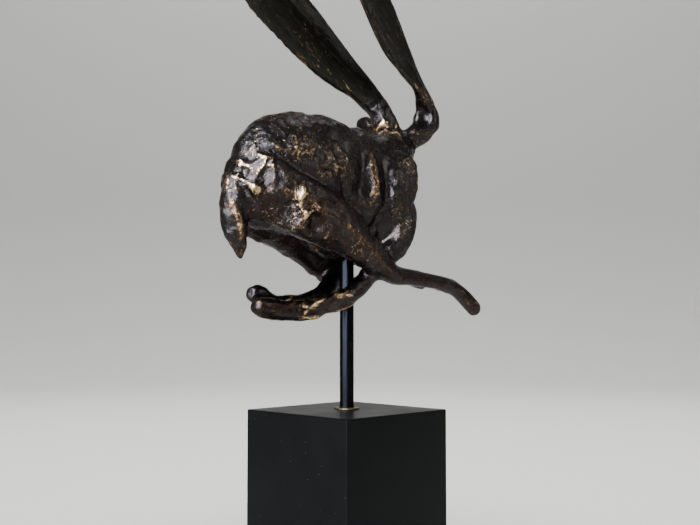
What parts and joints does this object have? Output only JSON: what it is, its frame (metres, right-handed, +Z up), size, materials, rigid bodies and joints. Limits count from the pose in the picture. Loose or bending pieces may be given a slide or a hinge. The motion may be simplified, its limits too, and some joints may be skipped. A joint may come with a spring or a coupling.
{
  "type": "hare sculpture",
  "caption": "Cast bronze hare at full gallop, its long ears swept back, held up by a slim dark rod on a square black plinth.",
  "frame": {"origin": "centre of the plinth's underside, on the rod's axis", "axes": "+Z up, along the rod; +X the way the hare's body runs; +Y to the hare's left, the way its head is turned"},
  "size_m": [0.2345, 0.1191, 0.4522],
  "materials": {
    "patinated_bronze": "cast bronze, dark brown patina rubbed through to gold on high places, waxed to a gloss",
    "blackened_steel": "drawn steel rod, blue-black, satin",
    "dull_brass": "thin turned ring, dull and dark",
    "black_lacquer": "square block, smooth satin black lacquer"
  },
  "bodies": {
    "root": {"hare": "patinated_bronze", "rod": "blackened_steel", "washer": "dull_brass", "plinth": "black_lacquer"}
  },
  "joints": []
}
